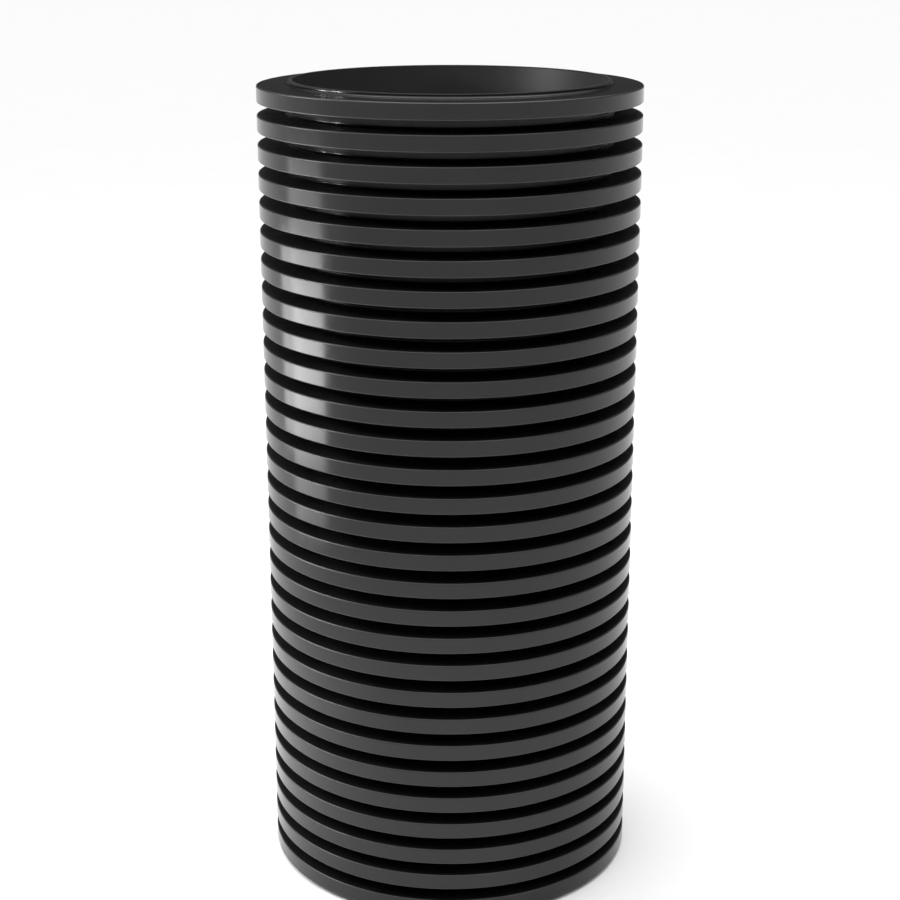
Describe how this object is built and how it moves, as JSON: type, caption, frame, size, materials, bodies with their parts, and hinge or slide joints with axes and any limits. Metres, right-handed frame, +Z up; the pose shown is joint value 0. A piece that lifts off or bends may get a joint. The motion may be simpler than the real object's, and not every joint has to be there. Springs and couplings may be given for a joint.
{
  "type": "inspection chamber shaft",
  "caption": "Corrugated plastic riser pipe for a drainage inspection chamber: a smooth bore inside, flat-topped ring ribs outside, sawn square at both ends.",
  "frame": {"origin": "centre of the lower rim, on the surface the pipe stands on", "axes": "+Z up along the pipe's axis; +Y away from the viewer; +X to the right"},
  "size_m": [0.6, 0.5996, 1.2916],
  "materials": {
    "pipe_plastic": "satin black polypropylene"
  },
  "bodies": {
    "root": {"shaft_pipe": "pipe_plastic"}
  },
  "joints": []
}
